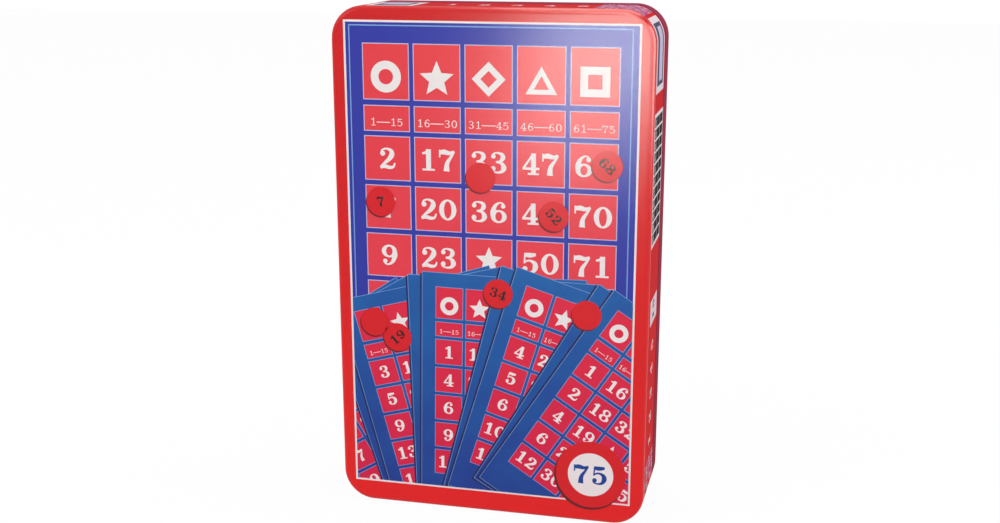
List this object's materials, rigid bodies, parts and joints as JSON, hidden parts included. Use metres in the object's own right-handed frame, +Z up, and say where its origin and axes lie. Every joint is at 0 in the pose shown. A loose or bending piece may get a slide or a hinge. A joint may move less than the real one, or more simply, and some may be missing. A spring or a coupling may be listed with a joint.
{
  "type": "bingo game in a tin",
  "caption": "Travel bingo game in an upright slip-lid tin: number cards, numbered and plain chips in a moulded tray, a caller's board and a folded leaflet.",
  "frame": {"origin": "centre of the closed tin's footprint, on the surface it stands on with its short end down", "axes": "+X to the right as seen from the lid, +Y from the lid towards the tin's back, +Z up along the tin's long side"},
  "size_m": [0.118, 0.04, 0.191],
  "materials": {
    "lid_tinplate": "gloss printed and lacquered tinplate",
    "base_tinplate": "gloss printed and lacquered tinplate",
    "tray_plastic": "satin thermoformed sheet",
    "printed_board": "printed paper on board",
    "chip_plastic": "moulded, satin",
    "leaflet_paper": "uncoated paper"
  },
  "bodies": {
    "base": {"tin_base": "base_tinplate"},
    "tray": {"card_and_chip_tray": "tray_plastic"},
    "number_chips": {"number_chips_01_to_15": "chip_plastic", "number_chips_16_to_30": "chip_plastic", "number_chips_31_to_45": "chip_plastic", "number_chips_46_to_60": "chip_plastic", "number_chips_61_to_75": "chip_plastic"},
    "cover_chips": {"cover_chips_stack_1": "chip_plastic", "cover_chips_stack_2": "chip_plastic", "cover_chips_stack_3": "chip_plastic", "cover_chips_stack_4": "chip_plastic", "cover_chips_stack_5": "chip_plastic"},
    "card_deck": {"bingo_card_01": "printed_board", "bingo_card_02": "printed_board", "bingo_card_03": "printed_board", "bingo_card_04": "printed_board", "bingo_card_05": "printed_board", "bingo_card_06": "printed_board", "bingo_card_07": "printed_board", "bingo_card_08": "printed_board", "bingo_card_09": "printed_board", "bingo_card_10": "printed_board", "bingo_card_11": "printed_board", "bingo_card_12": "printed_board", "bingo_card_13": "printed_board", "bingo_card_14": "printed_board", "bingo_card_15": "printed_board", "bingo_card_16": "printed_board"},
    "board": {"callers_board": "printed_board"},
    "leaflet": {"rules_leaflet": "leaflet_paper"},
    "lid": {"tin_lid": "lid_tinplate"}
  },
  "joints": [
    {"name": "tray_lift", "type": "slide", "parent": "base", "child": "tray", "axis": [0, -1, 0], "range_m": [0, 0.04]},
    {"name": "number_chips_lift", "type": "slide", "parent": "tray", "child": "number_chips", "axis": [0, -1, 0], "range_m": [0, 0.032]},
    {"name": "cover_chips_lift", "type": "slide", "parent": "number_chips", "child": "cover_chips", "axis": [0, -1, 0], "range_m": [0, 0.032]},
    {"name": "card_deck_lift", "type": "slide", "parent": "cover_chips", "child": "card_deck", "axis": [0, -1, 0], "range_m": [0, 0.032]},
    {"name": "board_lift", "type": "slide", "parent": "card_deck", "child": "board", "axis": [0, -1, 0], "range_m": [0, 0.015]},
    {"name": "leaflet_lift", "type": "slide", "parent": "board", "child": "leaflet", "axis": [0, -1, 0], "range_m": [0, 0.012]},
    {"name": "lid_lift", "type": "slide", "parent": "leaflet", "child": "lid", "axis": [0, -1, 0], "range_m": [0, 0.06]}
  ]
}
